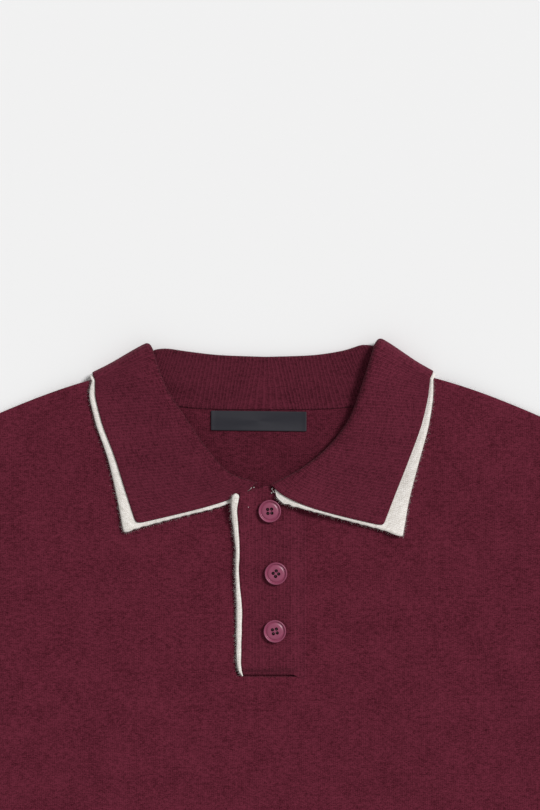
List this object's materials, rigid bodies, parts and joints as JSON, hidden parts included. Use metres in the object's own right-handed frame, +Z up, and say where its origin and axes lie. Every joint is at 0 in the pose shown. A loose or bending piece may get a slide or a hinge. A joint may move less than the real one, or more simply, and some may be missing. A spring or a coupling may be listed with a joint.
{
  "type": "polo sweater",
  "caption": "Long-sleeved knitted polo sweater laid flat, with a folded two-tone collar, a buttoned placket, ribbed hem and cuffs and a bare neck label.",
  "frame": {"origin": "middle of the garment's outline seen from above, on the surface that it lies on", "axes": "+X to the right as seen from above, +Y towards the neck, +Z up from the surface"},
  "size_m": [1.062, 0.7234, 0.02],
  "materials": {
    "body_knit": "brushed fine jersey, wine red",
    "rib_knit": "ribbed knit, wine red",
    "collar_rib": "fine rib knit, wine red",
    "cream_knit": "brushed knit, cream",
    "button": "moulded resin, satin pink-wine",
    "label_satin": "woven satin, near black, bare"
  },
  "bodies": {
    "root": {"back_panel": "body_knit", "front_panel": "body_knit", "sleeve_left": "body_knit", "sleeve_right": "body_knit", "hem_rib_back": "rib_knit", "hem_rib_front": "rib_knit", "cuff_rib_left": "rib_knit", "cuff_rib_right": "rib_knit", "collar_outer": "collar_rib", "collar_under": "cream_knit", "placket_under_band": "collar_rib", "placket_top_band": "collar_rib", "placket_tipping": "cream_knit", "button_1": "button", "button_2": "button", "button_3": "button", "neck_label": "label_satin"}
  },
  "joints": []
}
